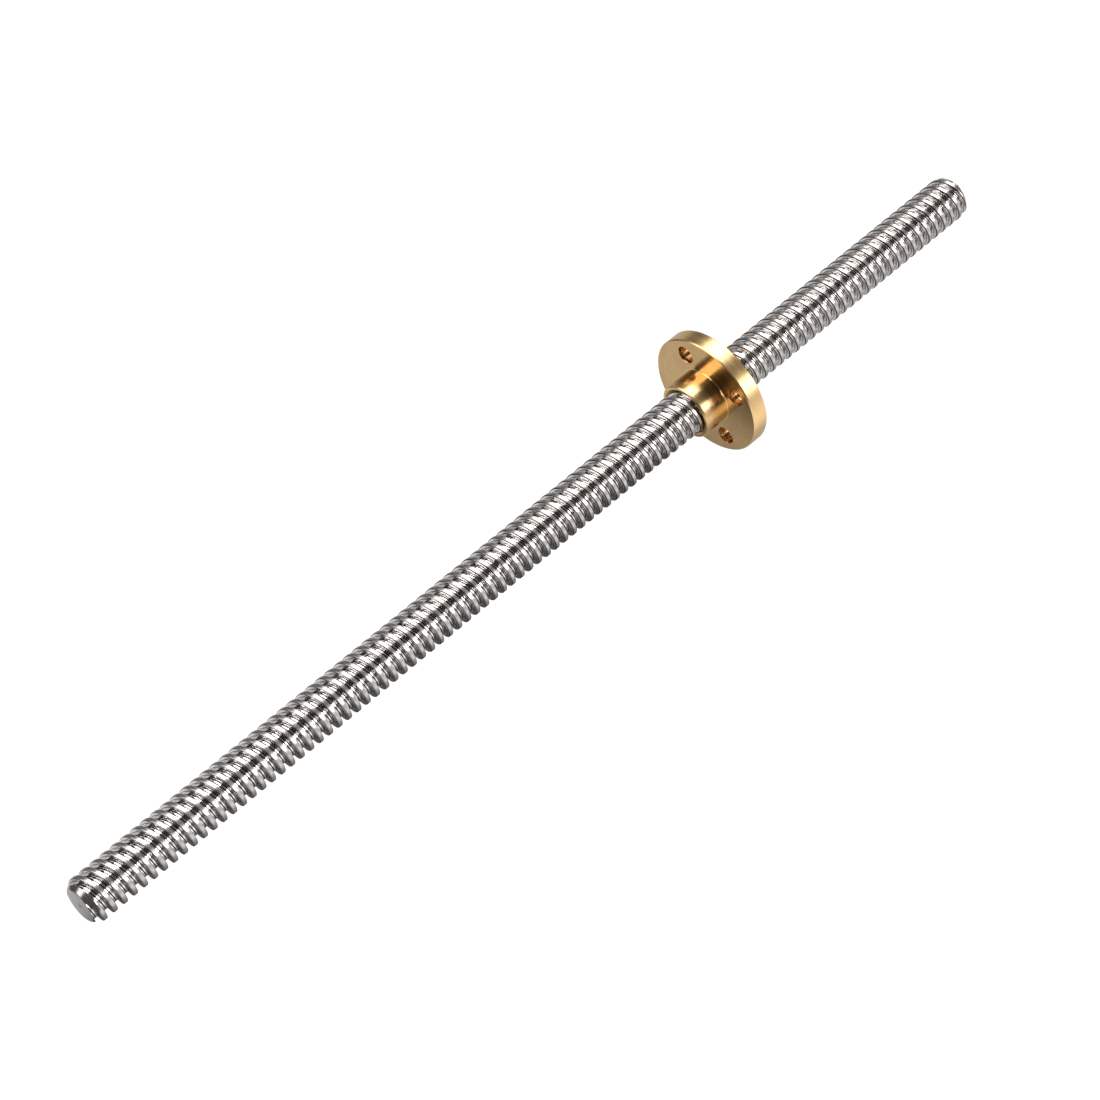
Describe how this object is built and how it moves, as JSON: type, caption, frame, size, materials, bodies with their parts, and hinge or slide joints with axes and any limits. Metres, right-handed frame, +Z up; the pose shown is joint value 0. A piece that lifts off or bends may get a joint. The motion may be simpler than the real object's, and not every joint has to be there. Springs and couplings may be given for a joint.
{
  "type": "lead screw and flange nut",
  "caption": "Trapezoidal lead screw threaded from end to end, with a round-flanged brass nut that travels along it.",
  "frame": {"origin": "centre of the screw's end face on the drive side, on the screw's axis", "axes": "+X along the screw's axis from the drive end to the free end, +Z up, with the screw lying level"},
  "size_m": [0.2, 0.022, 0.022],
  "materials": {
    "screw_steel": "bright rolled stainless steel",
    "nut_brass": "turned and polished brass"
  },
  "bodies": {
    "screw": {"lead_screw": "screw_steel"},
    "nut": {"flange_nut": "nut_brass"}
  },
  "joints": [
    {"name": "nut_travel", "type": "slide", "parent": "screw", "child": "nut", "axis": [1, 0, 0], "range_m": [-0.124, 0.056]}
  ]
}
